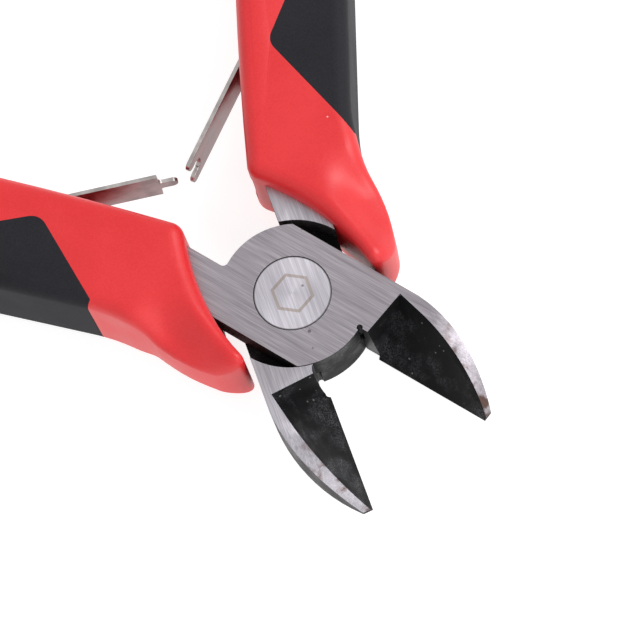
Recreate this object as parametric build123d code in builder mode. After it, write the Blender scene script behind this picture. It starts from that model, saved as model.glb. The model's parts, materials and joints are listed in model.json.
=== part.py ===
"""Mini diagonal cutting pliers: two forged halves in a lap joint, one rivet, two-colour grips, leaf springs.

Frame, in millimetres: +Z is the pivot axis, towards the rivet head. +Y bisects the open jaws and points to
their tips. The origin is on the pivot axis, in the joint's flush back plane, which holds both cutting edges.
The front half has its jaw at -X and its handle at +X, the back half the other way round.

Each half is drawn in its closed frame, jaw at +x and handle at -x, on a seat plane that holds half of the
opening. The front half's seat is turned over about Y, because its lap plate is the back half's turned over.
"""
from build123d import *
from math import asin, cos, degrees, radians, sin, sqrt, tan
import os

os.makedirs("parts", exist_ok=True)

# ---------------------------------------------------------------- driving dimensions
open_angle = 37.4            # between the two halves as modelled, at the springs' free opening

# joint
joint_thickness = 7.0
joint_half_width = 7.1
plate_front_radius = 8.9     # lap plate, on the jaws' side
plate_rear_radius = 8.5      # lap plate, on the handles' side
shoulder_clearance = 0.1     # of the shoulders round the other half's plate
lap_clearance = 0.04         # between the two lap faces
corner_relief_radius = 0.35  # undercut where the plate's rim runs into the jaw's root

# rivet
rivet_head_diameter = 9.0
rivet_head_height = 1.9
rivet_shank_diameter = 5.6
rivet_running_fit = 0.04     # all round the rivet in the front half
rivet_peen_diameter = 7.4
rivet_peen_height = 1.2

# jaws
jaw_length = 25.5            # pivot to tip
jaw_bow_length = 13.0        # of the bowed outer side, back from the tip
jaw_bow_radius = 20.3
tip_width = 1.2
tip_corner_radius = 0.4
edge_clearance = 0.02        # each cutting edge, from the centre line
edge_land = 0.15             # height of the blunt land left on the cutting edge
edge_start = 11.0
edge_lead_in = 0.15          # slope from the root's relief to the cutting edge
tip_slope = 0.1              # how far back the tip's flat end leans to the cutting edge
root_relief = 0.45           # the jaws' roots stand back from the centre line
nose_length = 11.5           # of the front face's curve down to the tip
nose_radius = 13.5
notch_radius = 1.15          # round notch at the root of the back half's cutting edge
notch_centre = (-0.15, 9.8)

# hollow ground into the front of each jaw
hollow_start = 9.5           # its two sections stand here and past the tip
hollow_width_root = 6.5      # on the joint's front plane
hollow_width_tip = 2.6
hollow_sag_root = 0.6        # how far the ground face dips below straight
hollow_sag_tip = 0.15
hollow_wall_top = 9.9        # the root wall, on the front plane at the centre line
hollow_wall_foot = 10.9      # and on the back plane
hollow_wall_skew = 0.12      # how much nearer the tip it lies per millimetre of width
cutter_margin = 1.0          # by which shapes that cut the jaw run past it

# tangs
tang_inner_x = 1.4
tang_straight_y = -14.0      # the tang is straight down to here
tang_thickness = 6.2         # under the grip
tang_fillet = 0.6
tang_neck_width = 4.2        # along the handle
tang_neck_length = 14.0      # from this far above the handle's knee
tang_end_turn = 18.0         # to this far round its bow, in degrees

# handles
handle_splay = 18.0          # of the straight part, from the closed tool's centre line
handle_knee = (-15.7, -46.0)  # where the handle starts to bow back in
handle_bow_radius = 125.0
handle_bow_turn = 24.5

# grips
grip_thickness = 12.5
grip_half_width = 6.75
grip_edge_radius = 1.8       # all round
grip_corner = (0.1, -15.1)   # inner front corner
grip_corner_radius = 2.0
guard_side = (-13.9, -5.0)   # the guard's widest point
guard_shoulder = (-13.35, -0.1)
guard_face_end = (-9.55, -0.03)  # where the curved front face runs into the guard's tip
guard_waist = (-13.15, -12.5)
grip_end_corner_radius = 2.4

# black inlay on the outer side of each grip
inlay_depth = 1.5
front_inlay_start_y = -18.8  # where its rim crosses the grip's outer side
back_inlay_start_y = -15.3
inlay_corner = (-7.6, -29.8)  # its nearest approach to the grip's inner side
inlay_corner_radius = 2.0
inlay_return_length = 10.0   # from this far above the knee, its rim follows the handle
inlay_offset = 0.6           # this far outside the handle's centre line
inlay_run_out_turn = 20.5    # where it leaves the handle's line, in degrees of the bow
inlay_end_turn = 21.5        # and where it has crossed the outer side
inlay_wave_radius = 5.0

# leaf springs, each curled round a cross pin in its handle
spring_pin_place = (-7.9, -34.8)
spring_pin_diameter = 1.6
spring_pin_length = 9.0
spring_pin_fit = 0.05
spring_width = 4.8
spring_thickness = 0.5
tongue_spring_length = 19.7  # pin to tip
fork_spring_length = 20.7
spring_free_angle = 43.9     # from the closed half's Y axis
spring_rest_margin = 1.5     # and how much further the pocket lets it open
spring_pocket_clearance = 0.35
pocket_reach = 24.0          # pin to the pocket's far end, outside the grip
tongue_width = 1.4
tongue_length = 2.2
tongue_tip_radius = 0.68
tongue_shoulder_radius = 0.45
fork_slot_width = 1.9
fork_slot_length = 1.7
fork_hole_diameter = 1.5
fork_tine_radius = 0.7

# ---------------------------------------------------------------- worked out from them
half_open = open_angle / 2
half_thickness = joint_thickness / 2  # the lap faces meet in the middle
shoulder_radius = plate_front_radius + shoulder_clearance
jaw_side_length = jaw_length - jaw_bow_length
nose_start = jaw_length - nose_length
mean_spring_length = (tongue_spring_length + fork_spring_length) / 2
spring_closed_angle = degrees(asin(-spring_pin_place[0] / mean_spring_length))
splay = radians(handle_splay)
bow_centre = (
    handle_knee[0] + handle_bow_radius * cos(splay),
    handle_knee[1] - handle_bow_radius * sin(splay),
)
up = Vector(0, 0, 1)


def seat_plane(half):
    """The half's closed frame at rest: x across to its jaw, y along the jaws, z away from its lap face."""
    side = 1 if half == "back" else -1
    turn = radians(half_open)
    return Plane(
        origin=(0, 0, half_thickness),
        x_dir=(side * cos(turn), -sin(turn), 0),
        z_dir=(0, 0, side),
    )


def at(seat, x, y, height=0.0):
    """A point of the closed frame as a point of the model, its height along +Z from the lap faces."""
    flat = seat.from_local_coords(Vector(x, y, 0))
    return flat + up * height


def bow_point(inward, turn):
    """A point beside the handle's bow: its distance inward from the centre line, after so many degrees."""
    angle = radians(180 - handle_splay + turn)
    radius = handle_bow_radius - inward
    return (bow_centre[0] + radius * cos(angle), bow_centre[1] + radius * sin(angle))


def handle_point(inward, length):
    """A point beside the handle's straight part: its distance inward, and its length above the knee."""
    knee = bow_point(inward, 0)
    return (knee[0] + length * sin(splay), knee[1] + length * cos(splay))


def rim_arc(radius, start, end):
    """An arc of the lap plate's rim about the pivot, between two of its points."""
    middle = Vector(start[0] + end[0], start[1] + end[1], 0).normalized() * radius
    return ThreePointArc(start, (middle.X, middle.Y), end)


def lever_outline():
    """Jaw, lap plate and tang in plan, closed."""
    width = joint_half_width
    front_corner = (-width, sqrt(plate_front_radius**2 - width**2))
    root_foot = (root_relief, sqrt(plate_front_radius**2 - root_relief**2))
    rear_corner = (width, -sqrt(plate_rear_radius**2 - width**2))
    tang_top = (-tang_inner_x, -sqrt(plate_rear_radius**2 - tang_inner_x**2))
    neck = tang_neck_width / 2
    knee_in = bow_point(neck, 0)
    knee_out = bow_point(-neck, 0)
    end_in = bow_point(neck, tang_end_turn)
    end_out = bow_point(-neck, tang_end_turn)
    with BuildSketch() as outline:
        with BuildLine():
            rim_arc(plate_front_radius, front_corner, root_foot)
            Polyline(
                root_foot,
                (root_relief, edge_start - edge_lead_in),
                (edge_clearance, edge_start),
                (edge_clearance, jaw_length - tip_slope),
                (tip_width, jaw_length),
            )
            RadiusArc((tip_width, jaw_length), (width, jaw_side_length), jaw_bow_radius)
            Line((width, jaw_side_length), rear_corner)
            rim_arc(plate_rear_radius, rear_corner, tang_top)
            Polyline(
                tang_top,
                (-tang_inner_x, tang_straight_y),
                handle_point(neck, tang_neck_length),
                knee_in,
            )
            ThreePointArc(knee_in, bow_point(neck, tang_end_turn / 2), end_in)
            Line(end_in, end_out)
            ThreePointArc(end_out, bow_point(-neck, tang_end_turn / 2), knee_out)
            Polyline(
                knee_out,
                handle_point(-neck, tang_neck_length),
                (-width, tang_straight_y),
                front_corner,
            )
        make_face()
        fillet(outline.vertices().sort_by_distance((*tang_top, 0))[0], tang_fillet)
        fillet(outline.vertices().sort_by_distance((tip_width, jaw_length, 0))[0], tip_corner_radius)
    return outline.sketch


def jaw_section(seat, y, width, sag):
    """What is ground away from the jaw at one place, seen along the jaw."""
    foot = (edge_clearance, edge_land - half_thickness)
    top = (width, half_thickness)
    run, rise = top[0] - foot[0], top[1] - foot[1]
    reach = sqrt(run**2 + rise**2)
    middle = ((foot[0] + top[0]) / 2 + sag * rise / reach, (foot[1] + top[1]) / 2 - sag * run / reach)
    plane = Plane(origin=at(seat, 0, y), x_dir=seat.x_dir, z_dir=seat.x_dir.cross(up))
    with BuildSketch(plane) as section:
        with BuildLine():
            ThreePointArc(foot, middle, top)
            Polyline(
                top,
                (width, joint_thickness),
                (-cutter_margin, joint_thickness),
                (-cutter_margin, foot[1]),
                foot,
            )
        make_face()
    return section.sketch


def jaw_hollow(seat):
    """The hollow in front of the cutting edge, closed off by a leaning wall at the jaw's root."""
    wall_top = at(seat, 0, hollow_wall_top, half_thickness)
    across = at(seat, 1, hollow_wall_top + hollow_wall_skew, half_thickness) - wall_top
    down = at(seat, 0, hollow_wall_foot, -half_thickness) - wall_top
    facing = across.cross(down)
    if facing.dot(seat.y_dir) < 0:
        facing = facing * -1
    with BuildPart() as hollow:
        add(jaw_section(seat, hollow_start, hollow_width_root, hollow_sag_root))
        add(jaw_section(seat, jaw_length + cutter_margin, hollow_width_tip, hollow_sag_tip))
        loft(ruled=True)
        split(bisect_by=Plane(origin=wall_top, z_dir=facing), keep=Keep.TOP)
    return hollow.part


def nose_cut(seat):
    """Everything in front of the curve that brings the jaw's front face down to the tip."""
    past_tip = jaw_length + cutter_margin
    drop = nose_radius - sqrt(nose_radius**2 - (past_tip - nose_start) ** 2)
    half_way = (nose_start + past_tip) / 2
    half_drop = nose_radius - sqrt(nose_radius**2 - (half_way - nose_start) ** 2)
    plane = Plane(origin=seat.origin, x_dir=seat.y_dir, z_dir=seat.y_dir.cross(up))
    with BuildPart() as cut:
        with BuildSketch(plane):
            with BuildLine():
                ThreePointArc(
                    (nose_start, half_thickness),
                    (half_way, half_thickness - half_drop),
                    (past_tip, half_thickness - drop),
                )
                Polyline(
                    (past_tip, half_thickness - drop),
                    (past_tip, joint_thickness),
                    (nose_start, joint_thickness),
                    (nose_start, half_thickness),
                )
            make_face()
        extrude(amount=2 * joint_half_width, both=True)
    return cut.part


def front_face_line(**options):
    """The curved front face in plan, from the guard's tip in to the grip's inner corner.

    The guard's outer side turns over its shoulder, round its tip and into the face without a corner.
    """
    shoulder = TangentArc(guard_side, guard_shoulder, tangent=(0, 1), **options)
    tip = TangentArc(guard_shoulder, guard_face_end, tangent=shoulder % 1, **options)
    return TangentArc(guard_face_end, grip_corner, tangent=tip % 1, **options)


def grip_mouth():
    """The plan of everything behind the curved front face of the grip."""
    with BuildSketch() as mouth:
        with BuildLine():
            face = front_face_line(mode=Mode.PRIVATE)
            add(face)
            inner_end = Vector(*grip_corner) + (face % 1) * joint_half_width
            outer_end = Vector(*guard_face_end) - (face % 0) * joint_half_width
            Polyline(
                guard_face_end,
                (outer_end.X, outer_end.Y),
                (-handle_bow_radius, outer_end.Y),
                (-handle_bow_radius, -handle_bow_radius),
                (inner_end.X, -handle_bow_radius),
                (inner_end.X, inner_end.Y),
                grip_corner,
            )
        make_face()
    return mouth.sketch


def lever(half):
    """One forged half: jaw, lap plate and tang."""
    seat = seat_plane(half)
    outline = lever_outline()
    hollow = jaw_hollow(seat)
    nose = nose_cut(seat)
    mouth = grip_mouth()
    with BuildPart() as forging:
        with BuildSketch(seat.offset(-half_thickness)):
            add(outline)
        extrude(amount=joint_thickness)
        # room for the other half's lap plate
        with BuildSketch(seat.offset(-lap_clearance / 2)):
            Circle(shoulder_radius)
        extrude(amount=joint_thickness, mode=Mode.SUBTRACT)
        # undercut at the foot of the jaw's root
        with BuildSketch(seat.offset(-half_thickness)):
            with Locations((root_relief, plate_front_radius)):
                Circle(corner_relief_radius)
        extrude(amount=half_thickness, mode=Mode.SUBTRACT)
        if half == "back":
            with BuildSketch(seat.offset(-half_thickness)):
                with Locations(notch_centre):
                    Circle(notch_radius)
                Circle(shoulder_radius, mode=Mode.SUBTRACT)
            extrude(amount=joint_thickness, mode=Mode.SUBTRACT)
        add(hollow, mode=Mode.SUBTRACT)
        add(nose, mode=Mode.SUBTRACT)
        # the tang is thinned under the grip, from the grip's front face on
        for level in (tang_thickness / 2, -half_thickness):
            with BuildSketch(seat.offset(level)):
                add(mouth)
            extrude(amount=half_thickness - tang_thickness / 2, mode=Mode.SUBTRACT)
        if half == "front":
            with Locations((0, 0, joint_thickness)):
                CounterBoreHole(
                    rivet_shank_diameter / 2 + rivet_running_fit,
                    rivet_head_diameter / 2 + rivet_running_fit,
                    rivet_head_height + rivet_running_fit,
                )
        else:
            add(rivet_body(), mode=Mode.SUBTRACT)
    return forging


def rivet_body():
    """Head, shank and peened end, turned about the pivot axis."""
    head, shank, peen = rivet_head_diameter / 2, rivet_shank_diameter / 2, rivet_peen_diameter / 2
    head_seat = joint_thickness - rivet_head_height
    with BuildPart() as rivet:
        with BuildSketch(Plane.XZ):
            with BuildLine():
                Polyline(
                    (0, 0),
                    (peen, 0),
                    (shank, rivet_peen_height),
                    (shank, head_seat),
                    (head, head_seat),
                    (head, joint_thickness),
                    (0, joint_thickness),
                    (0, 0),
                )
            make_face()
        revolve(axis=Axis.Z)
    return rivet.part


def outer_side(inset=0.0):
    """The grip's outer side from its waist out along the handle, down to the bow.

    The arc at the waist starts upright and has the one radius that runs smoothly into the straight.
    """
    waist = (guard_waist[0] + inset, guard_waist[1])
    knee_out = bow_point(-grip_half_width, 0)
    straight_x = knee_out[0] + (guard_waist[1] - knee_out[1]) * tan(splay)
    radius = (straight_x - guard_waist[0]) * cos(splay) / (1 - cos(splay)) + inset
    straight = (waist[0] - radius * (1 - cos(splay)), waist[1] - radius * sin(splay))
    TangentArc(waist, straight, tangent=(0, -1))
    Line(straight, bow_point(inset - grip_half_width, 0))


def bow_lines(inset, end_turn):
    """Both sides of the handle's bow and the line across its end."""
    width = grip_half_width - inset
    for side in (width, -width):
        ThreePointArc(bow_point(side, 0), bow_point(side, end_turn / 2), bow_point(side, end_turn))
    Line(bow_point(width, end_turn), bow_point(-width, end_turn))


def rounded_bar(half, outline, inset):
    """A grip-thick bar of the given plan at an even inset, with its edges rounded."""
    with BuildPart() as bar:
        with BuildSketch(seat_plane(half).offset(inset - grip_thickness / 2)):
            add(outline)
        extrude(amount=grip_thickness - 2 * inset)
        levels = bar.edges().group_by(Axis.Z)
        fillet(levels[0] + levels[-1], grip_edge_radius - inset)
    return bar.part


def grip_body(half):
    """The whole grip as one rounded solid."""
    with BuildSketch() as outline:
        with BuildLine():
            inner = bow_point(grip_half_width, 0)
            TangentArc(inner, grip_corner, tangent=(sin(splay), cos(splay)))
            front_face_line()
            turn_over = ((guard_side[0] + guard_waist[0]) / 2, (guard_side[1] + guard_waist[1]) / 2)
            TangentArc(guard_side, turn_over, tangent=(0, -1))
            TangentArc(guard_waist, turn_over, tangent=(0, 1))
            outer_side()
            bow_lines(0, handle_bow_turn)
        make_face()
        fillet(outline.vertices().sort_by_distance(grip_corner)[0], grip_corner_radius)
        ends = outline.vertices().sort_by_distance(bow_point(0, handle_bow_turn))
        fillet(ends[:2], grip_end_corner_radius)
    return rounded_bar(half, outline.sketch, 0)


def grip_core(half):
    """What is left of the bar under the inlay: its outer side at the inlay's depth."""
    width = grip_half_width - inlay_depth
    waist = (guard_waist[0] + inlay_depth, guard_waist[1])
    with BuildSketch() as outline:
        with BuildLine():
            outer_side(inlay_depth)
            bow_lines(inlay_depth, handle_bow_turn)
            Polyline(waist, (grip_corner[0] - inlay_depth, waist[1]), bow_point(width, 0))
        make_face()
    return rounded_bar(half, outline.sketch, inlay_depth)


def inlay_bed(half):
    """The pocket for the black inlay: everything outside its rim, down to the grip's core."""
    core = grip_core(half)
    outside = bow_point(-grip_thickness, inlay_end_turn)
    turn_in = handle_point(-inlay_offset, inlay_return_length)
    knee = bow_point(-inlay_offset, 0)
    along = bow_point(-inlay_offset, inlay_run_out_turn / 2)
    turn_out = bow_point(-inlay_offset, inlay_run_out_turn)
    with BuildSketch() as rim:
        with BuildLine():
            start_y = front_inlay_start_y if half == "front" else back_inlay_start_y
            start = (guard_waist[0], start_y)
            Polyline(outside, (outside[0], start[1]), start, inlay_corner, turn_in, knee)
            ThreePointArc(knee, along, turn_out)
            Line(turn_out, outside)
        make_face()
        fillet(rim.vertices().sort_by_distance((*inlay_corner, 0))[0], inlay_corner_radius)
        fillet(rim.vertices().sort_by_distance((*turn_in, 0))[0], inlay_wave_radius)
        fillet(rim.vertices().sort_by_distance((*turn_out, 0))[0], inlay_wave_radius / 2)
    with BuildPart() as bed:
        with BuildSketch(seat_plane(half).offset(-grip_thickness)):
            add(rim.sketch)
        extrude(amount=2 * grip_thickness)
        add(core, mode=Mode.SUBTRACT)
    return bed.part


def blade_direction(angle):
    """Along a spring's blade from its pin, in the closed frame."""
    return Vector(sin(radians(angle)), cos(radians(angle)), 0)


def spring_pocket(half):
    """Room in the grip for the spring's eye, and for its blade from the open to the closed tool."""
    seat = seat_plane(half)
    pin = Vector(*spring_pin_place, 0)
    gap = spring_thickness / 2 + spring_pocket_clearance
    eye_room = spring_pin_diameter / 2 + spring_pin_fit + spring_thickness + spring_pocket_clearance
    open_way = blade_direction(spring_free_angle + spring_rest_margin)
    closed_way = blade_direction(spring_closed_angle)
    lip = pin + Vector(open_way.Y, -open_way.X, 0) * gap
    floor = pin + Vector(-closed_way.Y, closed_way.X, 0) * gap
    corners = [pin, lip, lip + open_way * pocket_reach, floor + closed_way * pocket_reach, floor, pin]
    with BuildPart() as pocket:
        with BuildSketch(seat):
            with BuildLine():
                Polyline([(corner.X, corner.Y) for corner in corners])
            make_face()
            with Locations(spring_pin_place):
                Circle(eye_room)
        extrude(amount=spring_width / 2 + spring_pocket_clearance, both=True)
    return pocket.part


def blade_plane(half):
    """A plane through the pin, x along the free blade and y across its width."""
    seat = seat_plane(half)
    origin = at(seat, *spring_pin_place)
    blade = seat.x_dir * sin(radians(spring_free_angle)) + seat.y_dir * cos(radians(spring_free_angle))
    return Plane(origin=origin, x_dir=blade, z_dir=blade.cross(up))


def leaf_spring(half):
    """A leaf curled round its pin, ending in a tongue on the front half and in a fork on the back half."""
    pin = at(seat_plane(half), *spring_pin_place)
    bore = spring_pin_diameter / 2 + spring_pin_fit
    reach = tongue_spring_length - tongue_length if half == "front" else fork_spring_length
    with BuildPart() as spring:
        with BuildSketch(blade_plane(half)) as blade:
            Rectangle(reach, spring_width, align=(Align.MIN, Align.CENTER))
            if half == "front":
                with Locations((reach - tongue_width, 0)):
                    Rectangle(tongue_length + tongue_width, tongue_width, align=(Align.MIN, Align.CENTER))
                tips = blade.vertices().group_by(Axis.X)[-1]
                fillet(tips, tongue_tip_radius)
                for side in (-1, 1):
                    inside = (reach, side * tongue_width / 2, 0)
                    fillet(blade.vertices().sort_by_distance(inside)[0], tongue_shoulder_radius)
            else:
                with Locations((reach, 0)):
                    Rectangle(2 * fork_slot_length, fork_slot_width, mode=Mode.SUBTRACT)
                with Locations((reach - fork_slot_length, 0)):
                    Circle(fork_hole_diameter / 2, mode=Mode.SUBTRACT)
                fillet(blade.vertices().group_by(Axis.X)[-1], fork_tine_radius)
        extrude(amount=spring_thickness / 2, both=True)
        with Locations(pin):
            Cylinder(bore + spring_thickness, spring_width)
            Cylinder(bore, spring_width, mode=Mode.SUBTRACT)
    return spring


def spring_pin(half):
    """The cross pin through the grip that holds a spring's eye."""
    with BuildPart() as pin:
        with Locations(at(seat_plane(half), *spring_pin_place)):
            Cylinder(spring_pin_diameter / 2, spring_pin_length)
    return pin


def grip_pieces(half, forging, pin):
    """The red sleeve, moulded round the tang, and its black inlay."""
    body = grip_body(half)
    bed = inlay_bed(half)
    pocket = spring_pocket(half)
    with BuildPart() as inlay:
        add(body)
        add(bed, mode=Mode.INTERSECT)
    with BuildPart() as sleeve:
        add(body)
        for taken in (bed, forging.part, pocket, pin.part):
            add(taken, mode=Mode.SUBTRACT)
    return sleeve, inlay


def finish(piece, name):
    """Label a piece and write it."""
    piece.part.label = name
    export_step(piece.part, f"parts/{name}.step")


# ---------------------------------------------------------------- the pieces
for half in ("front", "back"):
    forging = lever(half)
    pin = spring_pin(half)
    sleeve, inlay = grip_pieces(half, forging, pin)
    finish(forging, f"{half}_half")
    finish(sleeve, f"{half}_sleeve")
    finish(inlay, f"{half}_inlay")
    finish(pin, f"{half}_spring_pin")
    finish(leaf_spring(half), "tongue_spring" if half == "front" else "fork_spring")

with BuildPart() as pivot_rivet:
    add(rivet_body())
finish(pivot_rivet, "pivot_rivet")
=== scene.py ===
# %% [markdown]
# # Compact diagonal cutting pliers
# Two forged steel halves cross in a lap joint and turn on one rivet. Each handle is a red moulded sleeve with
# a soft black inlay, and two leaf springs push the handles apart.

import json
import bmesh
import bpy
import numpy as np
from mathutils import Matrix, Vector

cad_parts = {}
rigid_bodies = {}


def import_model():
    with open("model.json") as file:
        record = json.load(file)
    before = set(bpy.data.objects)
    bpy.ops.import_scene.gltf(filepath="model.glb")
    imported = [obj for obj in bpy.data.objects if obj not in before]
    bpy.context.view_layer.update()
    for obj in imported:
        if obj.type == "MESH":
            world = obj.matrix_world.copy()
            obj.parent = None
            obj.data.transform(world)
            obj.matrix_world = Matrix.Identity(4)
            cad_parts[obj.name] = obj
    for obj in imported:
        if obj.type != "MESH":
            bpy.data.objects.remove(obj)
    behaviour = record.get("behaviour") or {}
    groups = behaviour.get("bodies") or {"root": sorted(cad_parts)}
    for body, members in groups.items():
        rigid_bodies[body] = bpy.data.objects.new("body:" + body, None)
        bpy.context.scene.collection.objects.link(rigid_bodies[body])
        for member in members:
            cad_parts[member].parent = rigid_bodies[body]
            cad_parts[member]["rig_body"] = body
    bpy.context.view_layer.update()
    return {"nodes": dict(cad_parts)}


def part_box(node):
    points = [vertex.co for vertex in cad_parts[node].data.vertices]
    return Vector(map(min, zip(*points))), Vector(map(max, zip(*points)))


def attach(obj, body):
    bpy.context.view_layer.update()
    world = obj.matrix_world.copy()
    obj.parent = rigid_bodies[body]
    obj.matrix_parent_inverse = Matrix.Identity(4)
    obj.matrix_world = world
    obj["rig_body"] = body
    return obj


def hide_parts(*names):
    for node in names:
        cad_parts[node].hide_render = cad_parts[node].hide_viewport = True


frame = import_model()
print("nodes:", ", ".join(sorted(frame["nodes"])))

# %% [markdown]
# ## Closed frames
# A half is easiest to describe as it lies in the closed tool, with its jaw at +x and its handle at -x.
# Half of the opening turns it to its place. The front half is the same shape turned over, so its x and its
# height change sign as well.

# %% The two closed frames
MM = 0.001
HALF_OPEN = np.radians(18.7)
LAP_HEIGHT = 3.5 * MM
SIDES = {"front": -1.0, "back": 1.0}


def closed_axes(half):
    """The closed frame's x, y and z directions in the model: x and y turned by half of the opening."""
    side = SIDES[half]
    across = np.array([side * np.cos(HALF_OPEN), -np.sin(HALF_OPEN), 0.0])
    along = np.array([side * np.sin(HALF_OPEN), np.cos(HALF_OPEN), 0.0])
    return np.stack([across, along, [0.0, 0.0, side]])


def to_closed(half, points):
    """Model points in the closed frame: their dot products with its three axes, from the lap's mid-height."""
    return (points - [0.0, 0.0, LAP_HEIGHT]) @ closed_axes(half).T


def to_model(half, points):
    """The way back: the sum of the three axes, each times its coordinate."""
    return points @ closed_axes(half) + [0.0, 0.0, LAP_HEIGHT]


print("front half's jaw points along", np.round(closed_axes("front")[1], 3))

# %% [markdown]
# ## Merged copies
# The exact model's faces are loose triangles. A copy has its doubles merged and its flat triangles joined, so
# that a Bevel modifier can break its edges as a grinder or a mould does. The copy then stands for its node.

# %% Copy a node and break its edges
SHARP_ANGLE = 35.0  # degrees
SAME_PLACE = 0.002 * MM
SAME_PLANE = 0.4    # degrees


def merged_copy(node, name, width, segments=2):
    """A copy of a node in one skin, with each edge sharper than SHARP_ANGLE rounded to the given width."""
    source = frame["nodes"][node]
    skin = bmesh.new()
    skin.from_mesh(source.data)
    bmesh.ops.remove_doubles(skin, verts=skin.verts, dist=SAME_PLACE)
    bmesh.ops.dissolve_limit(skin, angle_limit=np.radians(SAME_PLANE), verts=skin.verts, edges=skin.edges)
    mesh = bpy.data.meshes.new(name)
    skin.to_mesh(mesh)
    skin.free()
    mesh.shade_smooth()
    mesh.set_sharp_from_angle(angle=np.radians(SHARP_ANGLE))
    piece = bpy.data.objects.new(name, mesh)
    bpy.context.scene.collection.objects.link(piece)
    bevel = piece.modifiers.new("broken edges", "BEVEL")
    bevel.width = width
    bevel.segments = segments
    bevel.limit_method = "ANGLE"
    bevel.angle_limit = np.radians(SHARP_ANGLE)
    bevel.harden_normals = True
    bevel.use_clamp_overlap = True
    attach(piece, source["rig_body"])
    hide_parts(node)
    return piece


def face_arrays(mesh):
    """Every face's middle and normal, as arrays."""
    count = len(mesh.polygons)
    centres, normals = np.zeros(count * 3), np.zeros(count * 3)
    mesh.polygons.foreach_get("center", centres)
    mesh.polygons.foreach_get("normal", normals)
    return centres.reshape(-1, 3), normals.reshape(-1, 3)


# %% [markdown]
# ## Shader helpers
# A small helper adds a node, sets its options and wires its inputs. Effects that several finishes share are
# node groups: brushed lines and dust specks.

# %% Wire a node
def add_node(tree, kind, inputs=None, **options):
    """Adds a node. An input is a number, a colour or another node's output."""
    node = tree.nodes.new(kind)
    for option, value in options.items():
        setattr(node, option, value)
    for key, value in (inputs or {}).items():
        if isinstance(value, bpy.types.NodeSocket):
            tree.links.new(value, node.inputs[key])
        else:
            node.inputs[key].default_value = value
    return node


def new_group(name, inputs, outputs):
    """An empty shader group with named sockets: (name, type, default) going in, (name, type) coming out."""
    group = bpy.data.node_groups.new(name, "ShaderNodeTree")
    for label, kind, default in inputs:
        socket = group.interface.new_socket(label, in_out="INPUT", socket_type=kind)
        if default is not None:
            socket.default_value = default
    for label, kind in outputs:
        group.interface.new_socket(label, in_out="OUTPUT", socket_type=kind)
    return group, group.nodes.new("NodeGroupInput"), group.nodes.new("NodeGroupOutput")


def ramp(tree, value, low, high, to_low=0.0, to_high=1.0):
    """A value's smooth step between two limits."""
    made = add_node(
        tree,
        "ShaderNodeMapRange",
        {"Value": value, "From Min": low, "From Max": high, "To Min": to_low, "To Max": to_high},
        interpolation_type="SMOOTHSTEP",
    )
    return made.outputs["Result"]


def maths(tree, operation, first, second=0.0):
    """One step of arithmetic on two values."""
    return add_node(tree, "ShaderNodeMath", {0: first, 1: second}, operation=operation).outputs[0]


def blend_colours(tree, share, first, second):
    """The first colour at a share of 0, the second at 1."""
    made = add_node(tree, "ShaderNodeMix", {"Factor": share, "A": first, "B": second}, data_type="RGBA")
    return made.outputs["Result"]


FLOAT, VECTOR, COLOUR = "NodeSocketFloat", "NodeSocketVector", "NodeSocketColor"

# %% Brushed lines
def make_brushed():
    """Noise stretched along y: fine lines, and broad streaks under them. Both come out from 0 to 1."""
    group, given, made = new_group(
        "brushed lines",
        [("Vector", VECTOR, None), ("Fine Scale", FLOAT, 9000.0), ("Stretch", FLOAT, 0.02)],
        [("Lines", FLOAT), ("Streaks", FLOAT)],
    )
    stretched = add_node(group, "ShaderNodeCombineXYZ", {"X": 1.0, "Y": given.outputs["Stretch"], "Z": 1.0})
    vector = add_node(
        group,
        "ShaderNodeVectorMath",
        {0: given.outputs["Vector"], 1: stretched.outputs[0]},
        operation="MULTIPLY",
    )
    fine = add_node(
        group,
        "ShaderNodeTexNoise",
        {"Vector": vector.outputs[0], "Scale": given.outputs["Fine Scale"], "Detail": 3.0, "Roughness": 0.6},
    )
    broad = add_node(
        group,
        "ShaderNodeTexNoise",
        {"Vector": vector.outputs[0], "Scale": 3800.0, "Detail": 4.0, "Roughness": 0.6},
    )
    group.links.new(fine.outputs["Fac"], made.inputs["Lines"])
    group.links.new(broad.outputs["Fac"], made.inputs["Streaks"])
    return group


brushed = make_brushed()

# %% Dust specks
def make_specks():
    """Small round spots: a Voronoi cell's distance under a size, in the few cells whose colour is high."""
    group, given, made = new_group(
        "dust specks",
        [("Vector", VECTOR, None), ("Scale", FLOAT, 900.0), ("Size", FLOAT, 0.2), ("Share", FLOAT, 0.1)],
        [("Mask", FLOAT)],
    )
    cells = add_node(
        group,
        "ShaderNodeTexVoronoi",
        {"Vector": given.outputs["Vector"], "Scale": given.outputs["Scale"]},
    )
    pick = add_node(group, "ShaderNodeSeparateColor", {"Color": cells.outputs["Color"]})
    wide = maths(group, "MULTIPLY", given.outputs["Size"], pick.outputs["Green"])
    spot = maths(group, "LESS_THAN", cells.outputs["Distance"], wide)
    chosen = maths(group, "LESS_THAN", pick.outputs["Red"], given.outputs["Share"])
    group.links.new(maths(group, "MULTIPLY", spot, chosen), made.inputs["Mask"])
    return group


specks = make_specks()

# %% Start a material
def new_material(name, turn=0.0):
    """A material with a Principled BSDF, and Object coordinates turned about Z by an angle."""
    material = bpy.data.materials.new(name)
    material.use_nodes = True
    tree = material.node_tree
    shader = tree.nodes["Principled BSDF"]
    place = add_node(tree, "ShaderNodeTexCoord")
    turned = add_node(tree, "ShaderNodeMapping", {"Vector": place.outputs["Object"]})
    turned.inputs["Rotation"].default_value = (0.0, 0.0, turn)
    return material, tree, shader, turned.outputs["Vector"]


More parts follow.
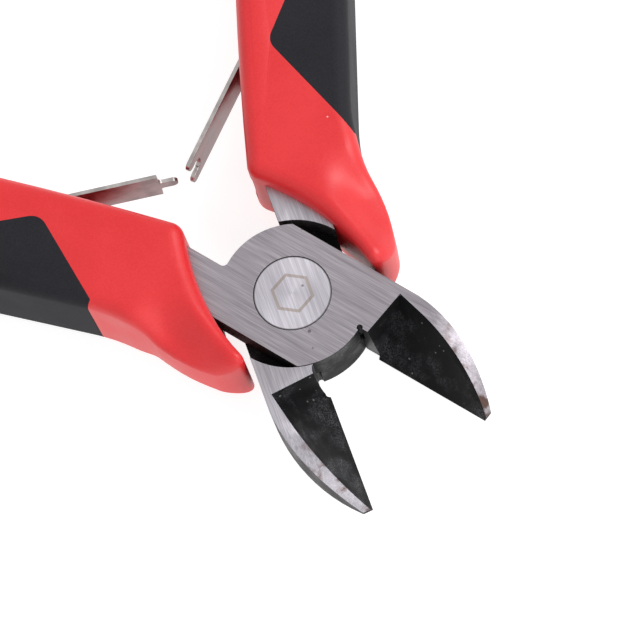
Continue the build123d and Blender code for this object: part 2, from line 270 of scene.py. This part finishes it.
def use_group(tree, group, inputs):
    """Adds a shader group to a material and wires its inputs."""
    node = tree.nodes.new("ShaderNodeGroup")
    node.node_tree = group
    for key, value in inputs.items():
        if isinstance(value, bpy.types.NodeSocket):
            tree.links.new(value, node.inputs[key])
        else:
            node.inputs[key].default_value = value
    return node


def bump(tree, shader, height, distance, strength=1.0):
    """Tilts the shader's normal by a height."""
    made = add_node(tree, "ShaderNodeBump", {"Height": height, "Distance": distance, "Strength": strength})
    tree.links.new(made.outputs["Normal"], shader.inputs["Normal"])


# %% [markdown]
# ## Ground steel
# The joint's faces, the jaws' flanks and the rivet's head are ground on a belt, which leaves fine parallel
# lines. A little rust has started near the outer edges of the jaws.

# %% Ground steel
def ground_steel(name, turn, dark, light, rust=0.0):
    """Brushed metal whose lines run along a half's own y axis, with dirt specks and rust towards the tips."""
    material, tree, shader, vector = new_material(name, turn)
    lines = use_group(tree, brushed, {"Vector": vector})
    tone = maths(tree, "MULTIPLY_ADD", lines.outputs["Lines"], 0.75)
    tone.node.inputs[2].default_value = -0.05
    both = maths(tree, "MULTIPLY_ADD", lines.outputs["Streaks"], 0.5)
    tree.links.new(tone, both.node.inputs[2])
    colour = blend_colours(tree, ramp(tree, both, 0.32, 0.95), dark, light)
    spots = use_group(tree, specks, {"Vector": vector, "Scale": 700.0, "Size": 0.16, "Share": 0.08})
    dirt = maths(tree, "MULTIPLY", spots.outputs["Mask"], 0.6)
    colour = blend_colours(tree, dirt, colour, (0.08, 0.06, 0.06, 1))
    if rust:
        patch = add_node(tree, "ShaderNodeTexNoise", {"Vector": vector, "Scale": 420.0, "Detail": 6.0})
        height = add_node(tree, "ShaderNodeSeparateXYZ", {"Vector": vector}).outputs["Y"]
        near_tip = ramp(tree, height, 0.013, 0.023)
        mask = maths(tree, "MULTIPLY", ramp(tree, patch.outputs["Fac"], 0.5, 0.62), near_tip)
        colour = blend_colours(tree, maths(tree, "MULTIPLY", mask, rust), colour, (0.11, 0.055, 0.035, 1))
    tree.links.new(colour, shader.inputs["Base Color"])
    tree.links.new(ramp(tree, lines.outputs["Streaks"], 0.2, 0.8, 0.38, 0.5), shader.inputs["Roughness"])
    shader.inputs["Metallic"].default_value = 1.0
    shader.inputs["Anisotropic"].default_value = 0.4
    bump(tree, shader, lines.outputs["Lines"], 0.006 * MM, 0.6)
    return material


ANGLES = {"front": -HALF_OPEN, "back": HALF_OPEN}
front_ground = ground_steel(
    "ground steel, front",
    ANGLES["front"],
    dark=(0.33, 0.30, 0.335, 1),
    light=(0.66, 0.62, 0.66, 1),
    rust=0.9,
)
back_ground = ground_steel(
    "ground steel, back",
    ANGLES["back"],
    dark=(0.36, 0.34, 0.375, 1),
    light=(0.68, 0.65, 0.70, 1),
    rust=0.9,
)
rivet_ground = ground_steel(
    "ground steel, rivet",
    ANGLES["back"],
    dark=(0.55, 0.52, 0.575, 1),
    light=(0.88, 0.85, 0.92, 1),
)
print("ground steel:", front_ground.name, "|", back_ground.name, "|", rivet_ground.name)

# %% Rivet head
def make_rivet_mark_and_shade():
    """The outline of a plain hexagon, and a painted shade: a dark ring on the rim of the head, standing for
    the shadow in the gap round it.

    A point's distance from a hexagon's middle is the largest of |x|, and |x| / 2 + |y| * 0.866.
    """
    group, given, made = new_group(
        "rivet mark and shade",
        [("Vector", VECTOR, None)],
        [("Outline", FLOAT), ("Painted Shade Ring", FLOAT)],
    )
    place = add_node(group, "ShaderNodeSeparateXYZ", {"Vector": given.outputs["Vector"]})
    across = maths(group, "ABSOLUTE", place.outputs["X"])
    slanted = maths(group, "MULTIPLY_ADD", across, 0.5)
    upward = maths(group, "MULTIPLY", maths(group, "ABSOLUTE", place.outputs["Y"]), 0.866)
    group.links.new(upward, slanted.node.inputs[2])
    reach = maths(group, "MAXIMUM", across, slanted)
    off_line = maths(group, "ABSOLUTE", maths(group, "SUBTRACT", reach, 2.05 * MM))
    group.links.new(ramp(group, off_line, 0.22 * MM, 0.14 * MM), made.inputs["Outline"])
    # The ring is painted shade: it darkens the rim of the head, where the gap round it lies in shadow.
    flat = add_node(group, "ShaderNodeCombineXYZ", {"X": place.outputs["X"], "Y": place.outputs["Y"]})
    radius = add_node(group, "ShaderNodeVectorMath", {0: flat.outputs[0]}, operation="LENGTH").outputs["Value"]
    group.links.new(ramp(group, radius, 4.28 * MM, 4.42 * MM), made.inputs["Painted Shade Ring"])
    return group


def lay_mark_and_shade(material, mark):
    """Lays the hexagon's tan outline, and the ring of painted shade at the head's rim, over the ground steel's
    colour.
    """
    tree = material.node_tree
    shader = tree.nodes["Principled BSDF"]
    colour = shader.inputs["Base Color"].links[0].from_socket
    vector = tree.nodes["Mapping"].outputs["Vector"]
    mask = use_group(tree, mark, {"Vector": vector})
    faint = maths(tree, "MULTIPLY", mask.outputs["Outline"], 0.55)
    colour = blend_colours(tree, faint, colour, (0.34, 0.25, 0.16, 1))
    # Painted shade: the rim of the head is laid nearly black, standing for the shadow in the gap round it.
    gap = maths(tree, "MULTIPLY", mask.outputs["Painted Shade Ring"], 0.85)
    colour = blend_colours(tree, gap, colour, (0.03, 0.03, 0.03, 1))
    tree.links.new(colour, shader.inputs["Base Color"])


rivet_mark_and_shade = make_rivet_mark_and_shade()
lay_mark_and_shade(rivet_ground, rivet_mark_and_shade)

# %% [markdown]
# ## Black oxide
# The hollows, the lap faces and the root walls keep the blackening of the forging. It is dark and nearly
# matt, with paler smudges where it has rubbed and fine dust.

# %% Black oxide and the side walls
def black_oxide(name, turn, base, smudge):
    """Dark scale: noise patches times fine grit give the rubbed smudges, and specks the dust."""
    material, tree, shader, vector = new_material(name, turn)
    cloud = add_node(
        tree,
        "ShaderNodeTexNoise",
        {"Vector": vector, "Scale": 260.0, "Detail": 5.0, "Roughness": 0.6},
    )
    grit = add_node(tree, "ShaderNodeTexNoise", {"Vector": vector, "Scale": 6000.0, "Detail": 2.0})
    patches = ramp(tree, cloud.outputs["Fac"], 0.46, 0.72)
    rubbed = maths(tree, "MULTIPLY", patches, ramp(tree, grit.outputs["Fac"], 0.35, 0.7))
    colour = blend_colours(tree, rubbed, base, smudge)
    spots = use_group(tree, specks, {"Vector": vector, "Scale": 1300.0, "Size": 0.2, "Share": 0.14})
    dust = maths(tree, "MULTIPLY", spots.outputs["Mask"], 0.5)
    colour = blend_colours(tree, dust, colour, (0.25, 0.25, 0.25, 1))
    tree.links.new(colour, shader.inputs["Base Color"])
    tree.links.new(ramp(tree, cloud.outputs["Fac"], 0.3, 0.7, 0.62, 0.42), shader.inputs["Roughness"])
    shader.inputs["Metallic"].default_value = 0.3
    shader.inputs["Specular IOR Level"].default_value = 0.15
    bump(tree, shader, grit.outputs["Fac"], 0.02 * MM, 0.5)
    return material


oxide = black_oxide("black oxide", 0.0, (0.006, 0.006, 0.007, 1), (0.085, 0.083, 0.09, 1))
side_wall = black_oxide("scaled side wall", 0.0, (0.03, 0.026, 0.028, 1), (0.09, 0.075, 0.078, 1))

# %% [markdown]
# ## Moulded grips
# The sleeve is a satin thermoplastic with a fine spark-eroded grain, and the inlay a softer rubber. Both show
# a few dust specks and faint scuffs.

# %% Plastic and rubber
def moulded(name, base, tint, roughness, shine, grain, dust, dust_share):
    """Plastic or rubber: half fine and half broad noise for the tone, grain as bump, a few dust specks."""
    material, tree, shader, vector = new_material(name)
    cloud = add_node(tree, "ShaderNodeTexNoise", {"Vector": vector, "Scale": 120.0, "Detail": 4.0})
    fine = add_node(tree, "ShaderNodeTexNoise", {"Vector": vector, "Scale": 5200.0, "Detail": 2.0})
    share = maths(tree, "MULTIPLY_ADD", fine.outputs["Fac"], 0.5)
    tree.links.new(maths(tree, "MULTIPLY", cloud.outputs["Fac"], 0.5), share.node.inputs[2])
    colour = blend_colours(tree, ramp(tree, share, 0.3, 0.7), base, tint)
    spots = use_group(tree, specks, {"Vector": vector, "Scale": 620.0, "Size": 0.1, "Share": dust_share})
    colour = blend_colours(tree, maths(tree, "MULTIPLY", spots.outputs["Mask"], 0.8), colour, dust)
    tree.links.new(colour, shader.inputs["Base Color"])
    gloss = ramp(tree, cloud.outputs["Fac"], 0.3, 0.7, roughness - 0.05, roughness + 0.05)
    tree.links.new(gloss, shader.inputs["Roughness"])
    shader.inputs["Specular IOR Level"].default_value = shine
    bump(tree, shader, fine.outputs["Fac"], grain, 0.5)
    return material


red_plastic = moulded(
    "red moulded plastic",
    base=(0.66, 0.017, 0.021, 1),
    tint=(0.74, 0.028, 0.033, 1),
    roughness=0.42,
    shine=0.5,
    grain=0.02 * MM,
    dust=(1.0, 0.5, 0.5, 1),
    dust_share=0.05,
)
black_rubber = moulded(
    "black soft rubber",
    base=(0.011, 0.0105, 0.014, 1),
    tint=(0.020, 0.019, 0.024, 1),
    roughness=0.68,
    shine=0.2,
    grain=0.03 * MM,
    dust=(0.4, 0.4, 0.42, 1),
    dust_share=0.06,
)
print("grips:", red_plastic.name, "|", black_rubber.name)

# %% [markdown]
# ## Springs and pins
# The leaves are tempered strip. Tempering leaves a brownish skin on the faces, and the sheared edges are
# bright.

# %% Spring steel
def spring_steel(name, dark, light):
    """Metal whose tone and gloss drift with broad noise."""
    material, tree, shader, vector = new_material(name)
    cloud = add_node(tree, "ShaderNodeTexNoise", {"Vector": vector, "Scale": 500.0, "Detail": 5.0})
    colour = blend_colours(tree, ramp(tree, cloud.outputs["Fac"], 0.3, 0.7), dark, light)
    tree.links.new(colour, shader.inputs["Base Color"])
    tree.links.new(ramp(tree, cloud.outputs["Fac"], 0.3, 0.7, 0.28, 0.42), shader.inputs["Roughness"])
    shader.inputs["Metallic"].default_value = 1.0
    return material


leaf_face = spring_steel("tempered strip", (0.20, 0.15, 0.15, 1), (0.36, 0.29, 0.29, 1))
leaf_edge = spring_steel("sheared edge", (0.45, 0.42, 0.41, 1), (0.65, 0.62, 0.6, 1))
wire = spring_steel("drawn wire", (0.4, 0.4, 0.4, 1), (0.55, 0.55, 0.55, 1))

# %% [markdown]
# ## The forged halves
# A face's finish follows from where it lies: faces at full height and the jaws' flanks are ground, the rest
# of what looks up is black, and the walls are scaled.

# %% Halves
GROUND, BLACK, SCALED = 0, 1, 2        # the slots of a half's materials
LEVEL, NEARLY_LEVEL, LOOKS_UP = 0.98, 0.9, 0.5  # how far a normal points along the height
STEEP = 0.3
FULL_HEIGHT = 3.0 * MM                 # from the mid-height
HOLLOW_START, NOSE_START = 9.0 * MM, 13.0 * MM  # along the closed tool
ROOT_RADIUS = 11.5 * MM                # about the pivot


def forged_half(half, ground):
    """A half's copy, with a finish for each face picked from its place and its normal in the closed frame."""
    piece = merged_copy(f"{half}_half", f"{half}_forging", 0.1 * MM)
    centres, normals = face_arrays(piece.data)
    centres = to_closed(half, centres)
    facing = normals @ closed_axes(half).T
    along = centres[:, 1]
    height = centres[:, 2] * SIDES[half]
    up = facing[:, 2] * SIDES[half]
    hollow = (facing[:, 0] < -STEEP) & (np.abs(up) > STEEP) & (along > HOLLOW_START)
    near_root = np.hypot(centres[:, 0], along) < ROOT_RADIUS
    root_wall = near_root & (along > 0) & (np.abs(up) < STEEP)
    flat_top = (up > LEVEL) & (height > FULL_HEIGHT)
    flat_back = (up < -LEVEL) & (height < -FULL_HEIGHT)
    nose = (up > LOOKS_UP) & (along > NOSE_START) & ~hollow
    finish = np.full(len(centres), SCALED)
    finish[np.abs(up) > NEARLY_LEVEL] = BLACK
    finish[hollow | root_wall] = BLACK
    finish[flat_top | flat_back | nose] = GROUND
    for material in (ground, oxide, side_wall):
        piece.data.materials.append(material)
    piece.data.polygons.foreach_set("material_index", finish.astype(np.int32))
    print(piece.name, "faces ground, black, scaled:", np.bincount(finish, minlength=3).tolist())


forged_half("front", front_ground)
forged_half("back", back_ground)

# %% [markdown]
# ## Rivet
# The rivet keeps its exact shape, with broken edges. Its mark, and a ring of painted shade at its rim, are in
# the material.

# %% Rivet
rivet = merged_copy("pivot_rivet", "rivet", 0.08 * MM)
rivet.data.materials.append(rivet_ground)
print(rivet.name, "has", len(rivet.data.polygons), "faces")

# %% [markdown]
# ## Grips
# The guards swell to a bulb: their outer side is much rounder than the rest of the grip. The exact sleeve has
# one edge radius all round, so its copy is cut into a fine grid at the guard and drawn towards its mid-height
# there. The two guards also sit a little differently.

# %% Cut a mesh into a grid
GUARD_START, GUARD_END = -16.0 * MM, 2.5 * MM  # along the closed tool
GUARD_OUTSIDE = -14.5 * MM                      # across it, out from its centre line
CUT_START = -24.0 * MM                          # faces whose middle lies above this are cut
GRID_STEP = 0.7 * MM
CUT_TOLERANCE = 0.01 * MM


def cut_grid(half, mesh):
    """Cuts the faces at the guard along planes across and along the closed tool, a step apart."""
    across, along, _ = closed_axes(half)
    origin = np.array([0.0, 0.0, LAP_HEIGHT])
    skin = bmesh.new()
    skin.from_mesh(mesh)
    bmesh.ops.triangulate(skin, faces=[face for face in skin.faces if len(face.verts) > 4])
    steps = [(along, y) for y in np.arange(GUARD_START, GUARD_END, GRID_STEP)]
    steps += [(across, x) for x in np.arange(GUARD_OUTSIDE, 0.0, GRID_STEP)]
    upward = Vector(along)
    for direction, place in steps:
        near = [face for face in skin.faces if upward.dot(face.calc_center_median()) > CUT_START]
        edges = dict.fromkeys(edge for face in near for edge in face.edges)
        corners = dict.fromkeys(corner for face in near for corner in face.verts)
        bmesh.ops.bisect_plane(
            skin,
            geom=[*corners, *edges, *near],
            plane_co=origin + direction * place,
            plane_no=direction,
            dist=CUT_TOLERANCE,
        )
    skin.to_mesh(mesh)
    skin.free()


# %% Draw the guard to a bulb
GUARD_FOOT = np.array([-6.2, -15.0]) * MM  # the ends of a line down the guard's middle
GUARD_TOP = np.array([-9.4, -1.0]) * MM
FADE_START, FADE_LENGTH = 1.5 * MM, 9.0 * MM        # up that line
FLATTEN_START, FLATTEN_WIDTH = -0.5 * MM, 5.0 * MM  # outward of it
SHIFT_START, SHIFT_WIDTH = -2.0 * MM, 6.0 * MM


def smooth_step(value):
    """3 v^2 - 2 v^3, with v held between 0 and 1."""
    share = np.clip(value, 0.0, 1.0)
    return share * share * (3.0 - 2.0 * share)


def draw_bulb(half, mesh, amount, shift):
    """Heights from the mid-plane times 1 - amount * w, and places moved by shift * w.

    w is fade * side: side rises with the distance outward of the line down the guard's middle, and fade with
    the distance up it. The places' w rises from further inward than the heights'.
    """
    points = np.zeros(len(mesh.vertices) * 3)
    mesh.vertices.foreach_get("co", points)
    local = to_closed(half, points.reshape(-1, 3))
    heading = (GUARD_TOP - GUARD_FOOT) / np.hypot(*(GUARD_TOP - GUARD_FOOT))
    from_foot = local[:, :2] - GUARD_FOOT
    outward = from_foot[:, 1] * heading[0] - from_foot[:, 0] * heading[1]
    upward = from_foot @ heading
    fade = smooth_step((upward - FADE_START) / FADE_LENGTH)
    flattened = fade * smooth_step((outward - FLATTEN_START) / FLATTEN_WIDTH)
    shifted = fade * smooth_step((outward - SHIFT_START) / SHIFT_WIDTH)
    local[:, 2] *= 1.0 - amount * flattened
    local[:, :2] += shifted[:, None] * np.array(shift) * MM
    mesh.vertices.foreach_set("co", to_model(half, local).ravel())
    mesh.update()


# %% Grips
FLATTENING = 0.45
GUARD_SHIFTS = {"front": (0.5, -2.6), "back": (0.35, -1.4)}  # in millimetres
for half in SIDES:
    sleeve = merged_copy(f"{half}_sleeve", f"{half}_grip", 0.25 * MM, 3)
    cut_grid(half, sleeve.data)
    draw_bulb(half, sleeve.data, FLATTENING, GUARD_SHIFTS[half])
    sleeve.data.shade_smooth()
    sleeve.data.set_sharp_from_angle(angle=np.radians(SHARP_ANGLE))
    print(sleeve.name, "has", len(sleeve.data.polygons), "faces")
    sleeve.data.materials.append(red_plastic)
    inlay = merged_copy(f"{half}_inlay", f"{half}_soft_inlay", 0.3 * MM, 3)
    inlay.data.materials.append(black_rubber)
    pin = merged_copy(f"{half}_spring_pin", f"{half}_pin", 0.1 * MM)
    pin.data.materials.append(wire)

# %% [markdown]
# ## Springs
# A leaf's sheared edges look up and down the pivot's axis. The rest of it is the strip's brownish skin.

# %% Springs
for node, name in (("tongue_spring", "tongue_leaf"), ("fork_spring", "fork_leaf")):
    leaf = merged_copy(node, name, 0.06 * MM)
    leaf.data.materials.append(leaf_face)
    leaf.data.materials.append(leaf_edge)
    _, normals = face_arrays(leaf.data)
    edge = np.abs(normals[:, 2]) > LOOKS_UP
    leaf.data.polygons.foreach_set("material_index", edge.astype(np.int32))
    print(leaf.name, "has", int(edge.sum()), "edge faces of", len(edge))

# %% [markdown]
# ## Floor, light and camera
# The tool lies on a plain pale sweep under large soft lights.

# %% Floor
def sweep(half_width, height):
    """A square at one height, corner by corner."""
    mesh = bpy.data.meshes.new("sweep")
    corners = [(x * half_width, y * half_width, height) for x, y in ((-1, -1), (1, -1), (1, 1), (-1, 1))]
    mesh.from_pydata(corners, [], [(0, 1, 2, 3)])
    floor = bpy.data.objects.new("sweep", mesh)
    bpy.context.scene.collection.objects.link(floor)
    return floor


FLOOR_GAP = 0.05 * MM  # under the grips
floor = sweep(2.0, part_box("front_sleeve")[0].z - FLOOR_GAP)
material, _, shader, _ = new_material("pale sweep")
shader.inputs["Base Color"].default_value = (0.4, 0.4, 0.4, 1)
shader.inputs["Roughness"].default_value = 0.9
shader.inputs["Emission Color"].default_value = (1, 1, 1, 1)
shader.inputs["Emission Strength"].default_value = 0.8
floor.data.materials.append(material)
print("floor at", round(floor.data.vertices[0].co.z * 1000, 2), "mm")

# %% Lights
def soft_light(name, place, target, size, power):
    """A round area light of some metres and watts, turned towards a point."""
    lamp = bpy.data.lights.new(name, "AREA")
    lamp.shape = "DISK"
    lamp.size = size
    lamp.energy = power
    holder = bpy.data.objects.new(name, lamp)
    bpy.context.scene.collection.objects.link(holder)
    holder.location = place
    aim = Vector(target) - holder.location
    holder.rotation_euler = aim.to_track_quat("-Z", "Y").to_euler()
    print(name, "light:", power, "W")


TOOL_MIDDLE = (0, -0.02, 0)
soft_light("from one side", (-0.7, 0.25, 0.75), TOOL_MIDDLE, size=0.6, power=6.0)
soft_light("from the tips", (0.1, 0.9, 0.6), TOOL_MIDDLE, size=1.0, power=2.5)
world = bpy.data.worlds.new("studio")
world.use_nodes = True
world.node_tree.nodes["Background"].inputs["Color"].default_value = (1, 1, 1, 1)
world.node_tree.nodes["Background"].inputs["Strength"].default_value = 0.7
bpy.context.scene.world = world
bpy.context.scene.view_settings.view_transform = "Standard"

# %% Camera
camera_data = bpy.data.cameras.new("camera")
camera_data.lens = 156.92
camera_data.sensor_width = 36.0
camera_data.clip_start = 0.01
camera = bpy.data.objects.new("camera", camera_data)
bpy.context.scene.collection.objects.link(camera)
right = (-0.78207, 0.61208, -0.11718)
down = (0.6103, 0.71418, -0.34275)
ahead = (-0.1261, -0.33957, -0.93209)
turn = Matrix([right, [-v for v in down], [-v for v in ahead]]).transposed()
camera.matrix_world = Matrix.Translation((0.03952, 0.11211, 0.30196)) @ turn.to_4x4()
bpy.context.scene.camera = camera
print("camera:", camera_data.lens, "mm lens")
